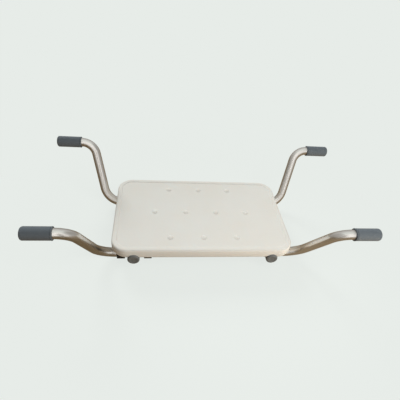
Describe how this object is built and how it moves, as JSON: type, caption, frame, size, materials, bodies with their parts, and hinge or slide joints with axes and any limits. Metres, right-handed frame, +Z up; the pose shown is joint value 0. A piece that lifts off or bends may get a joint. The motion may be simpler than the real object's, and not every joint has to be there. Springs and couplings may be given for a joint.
{
  "type": "bath bench",
  "caption": "Suspended bath bench: moulded seat with anti-slip bumps on cross tubes, hung from bent tube arms with soft grips that rest on the bath rims; one side slides to set the width.",
  "frame": {"origin": "under the middle of the seat, level with the lowest points of the bench, which are the guide saddles and the heads of the crossing bolts", "axes": "+X along the seat to the side with the fixed arms, +Y to the rear, +Z up"},
  "size_m": [0.7388, 0.3522, 0.1723],
  "materials": {
    "seat_plastic": "off-white moulded polyethylene, satin",
    "satin_aluminium": "satin anodised tube",
    "grip_vinyl": "dark grey soft vinyl, matte",
    "cap_vinyl": "dark grey moulded cap, matte",
    "saddle_plastic": "black moulded nylon",
    "plated_steel": "zinc plated",
    "brass": "plain"
  },
  "bodies": {
    "root": {"arm_tube_front_right": "satin_aluminium", "arm_tube_rear_right": "satin_aluminium", "cross_tube_cap_front_left": "cap_vinyl", "cross_tube_cap_front_right": "cap_vinyl", "cross_tube_cap_rear_left": "cap_vinyl", "cross_tube_cap_rear_right": "cap_vinyl", "cross_tube_left": "satin_aluminium", "cross_tube_right": "satin_aluminium", "cross_tube_screw_front": "plated_steel", "cross_tube_screw_rear": "plated_steel", "crossing_bolt_front": "plated_steel", "crossing_bolt_rear": "plated_steel", "crossing_washer_front": "plated_steel", "crossing_washer_rear": "plated_steel", "grip_front_right": "grip_vinyl", "grip_rear_right": "grip_vinyl", "guide_saddle_front_inner": "saddle_plastic", "guide_saddle_front_outer": "saddle_plastic", "guide_saddle_rear_inner": "saddle_plastic", "guide_saddle_rear_outer": "saddle_plastic", "joining_rivet_front_inner": "satin_aluminium", "joining_rivet_front_outer": "satin_aluminium", "joining_rivet_rear_inner": "satin_aluminium", "joining_rivet_rear_outer": "satin_aluminium", "joining_tube_front": "satin_aluminium", "joining_tube_rear": "satin_aluminium", "saddle_screw_front_inner_edge": "plated_steel", "saddle_screw_front_inner_middle": "plated_steel", "saddle_screw_front_outer_edge": "plated_steel", "saddle_screw_front_outer_middle": "plated_steel", "saddle_screw_rear_inner_edge": "plated_steel", "saddle_screw_rear_inner_middle": "plated_steel", "saddle_screw_rear_outer_edge": "plated_steel", "saddle_screw_rear_outer_middle": "plated_steel", "seat_board": "seat_plastic", "seat_insert_front_left": "brass", "seat_insert_front_right": "brass", "seat_insert_rear_left": "brass", "seat_insert_rear_right": "brass", "thumb_screw_nut_front": "plated_steel", "thumb_screw_nut_rear": "plated_steel"},
    "left_front_arm": {"arm_tube_front_left": "satin_aluminium", "grip_front_left": "grip_vinyl"},
    "left_rear_arm": {"arm_tube_rear_left": "satin_aluminium", "grip_rear_left": "grip_vinyl"},
    "thumb_screw_front": {"thumb_screw_stud_front": "plated_steel", "thumb_screw_knob_front": "saddle_plastic"},
    "thumb_screw_rear": {"thumb_screw_stud_rear": "plated_steel", "thumb_screw_knob_rear": "saddle_plastic"}
  },
  "joints": [
    {"name": "left_front_arm_slide", "type": "slide", "parent": "root", "child": "left_front_arm", "axis": [-1, 0, 0], "range_m": [0, 0.05]},
    {"name": "left_rear_arm_slide", "type": "slide", "parent": "root", "child": "left_rear_arm", "axis": [-1, 0, 0], "range_m": [0, 0.05]},
    {"name": "thumb_screw_front_turn", "type": "hinge", "parent": "root", "child": "thumb_screw_front", "pos_m": [-0.13175, -0.09, 0.0151], "axis": [0, 1, 0], "range_deg": [0, 540]},
    {"name": "thumb_screw_rear_turn", "type": "hinge", "parent": "root", "child": "thumb_screw_rear", "pos_m": [-0.13175, 0.09, 0.0151], "axis": [0, -1, 0], "range_deg": [0, 540]}
  ]
}
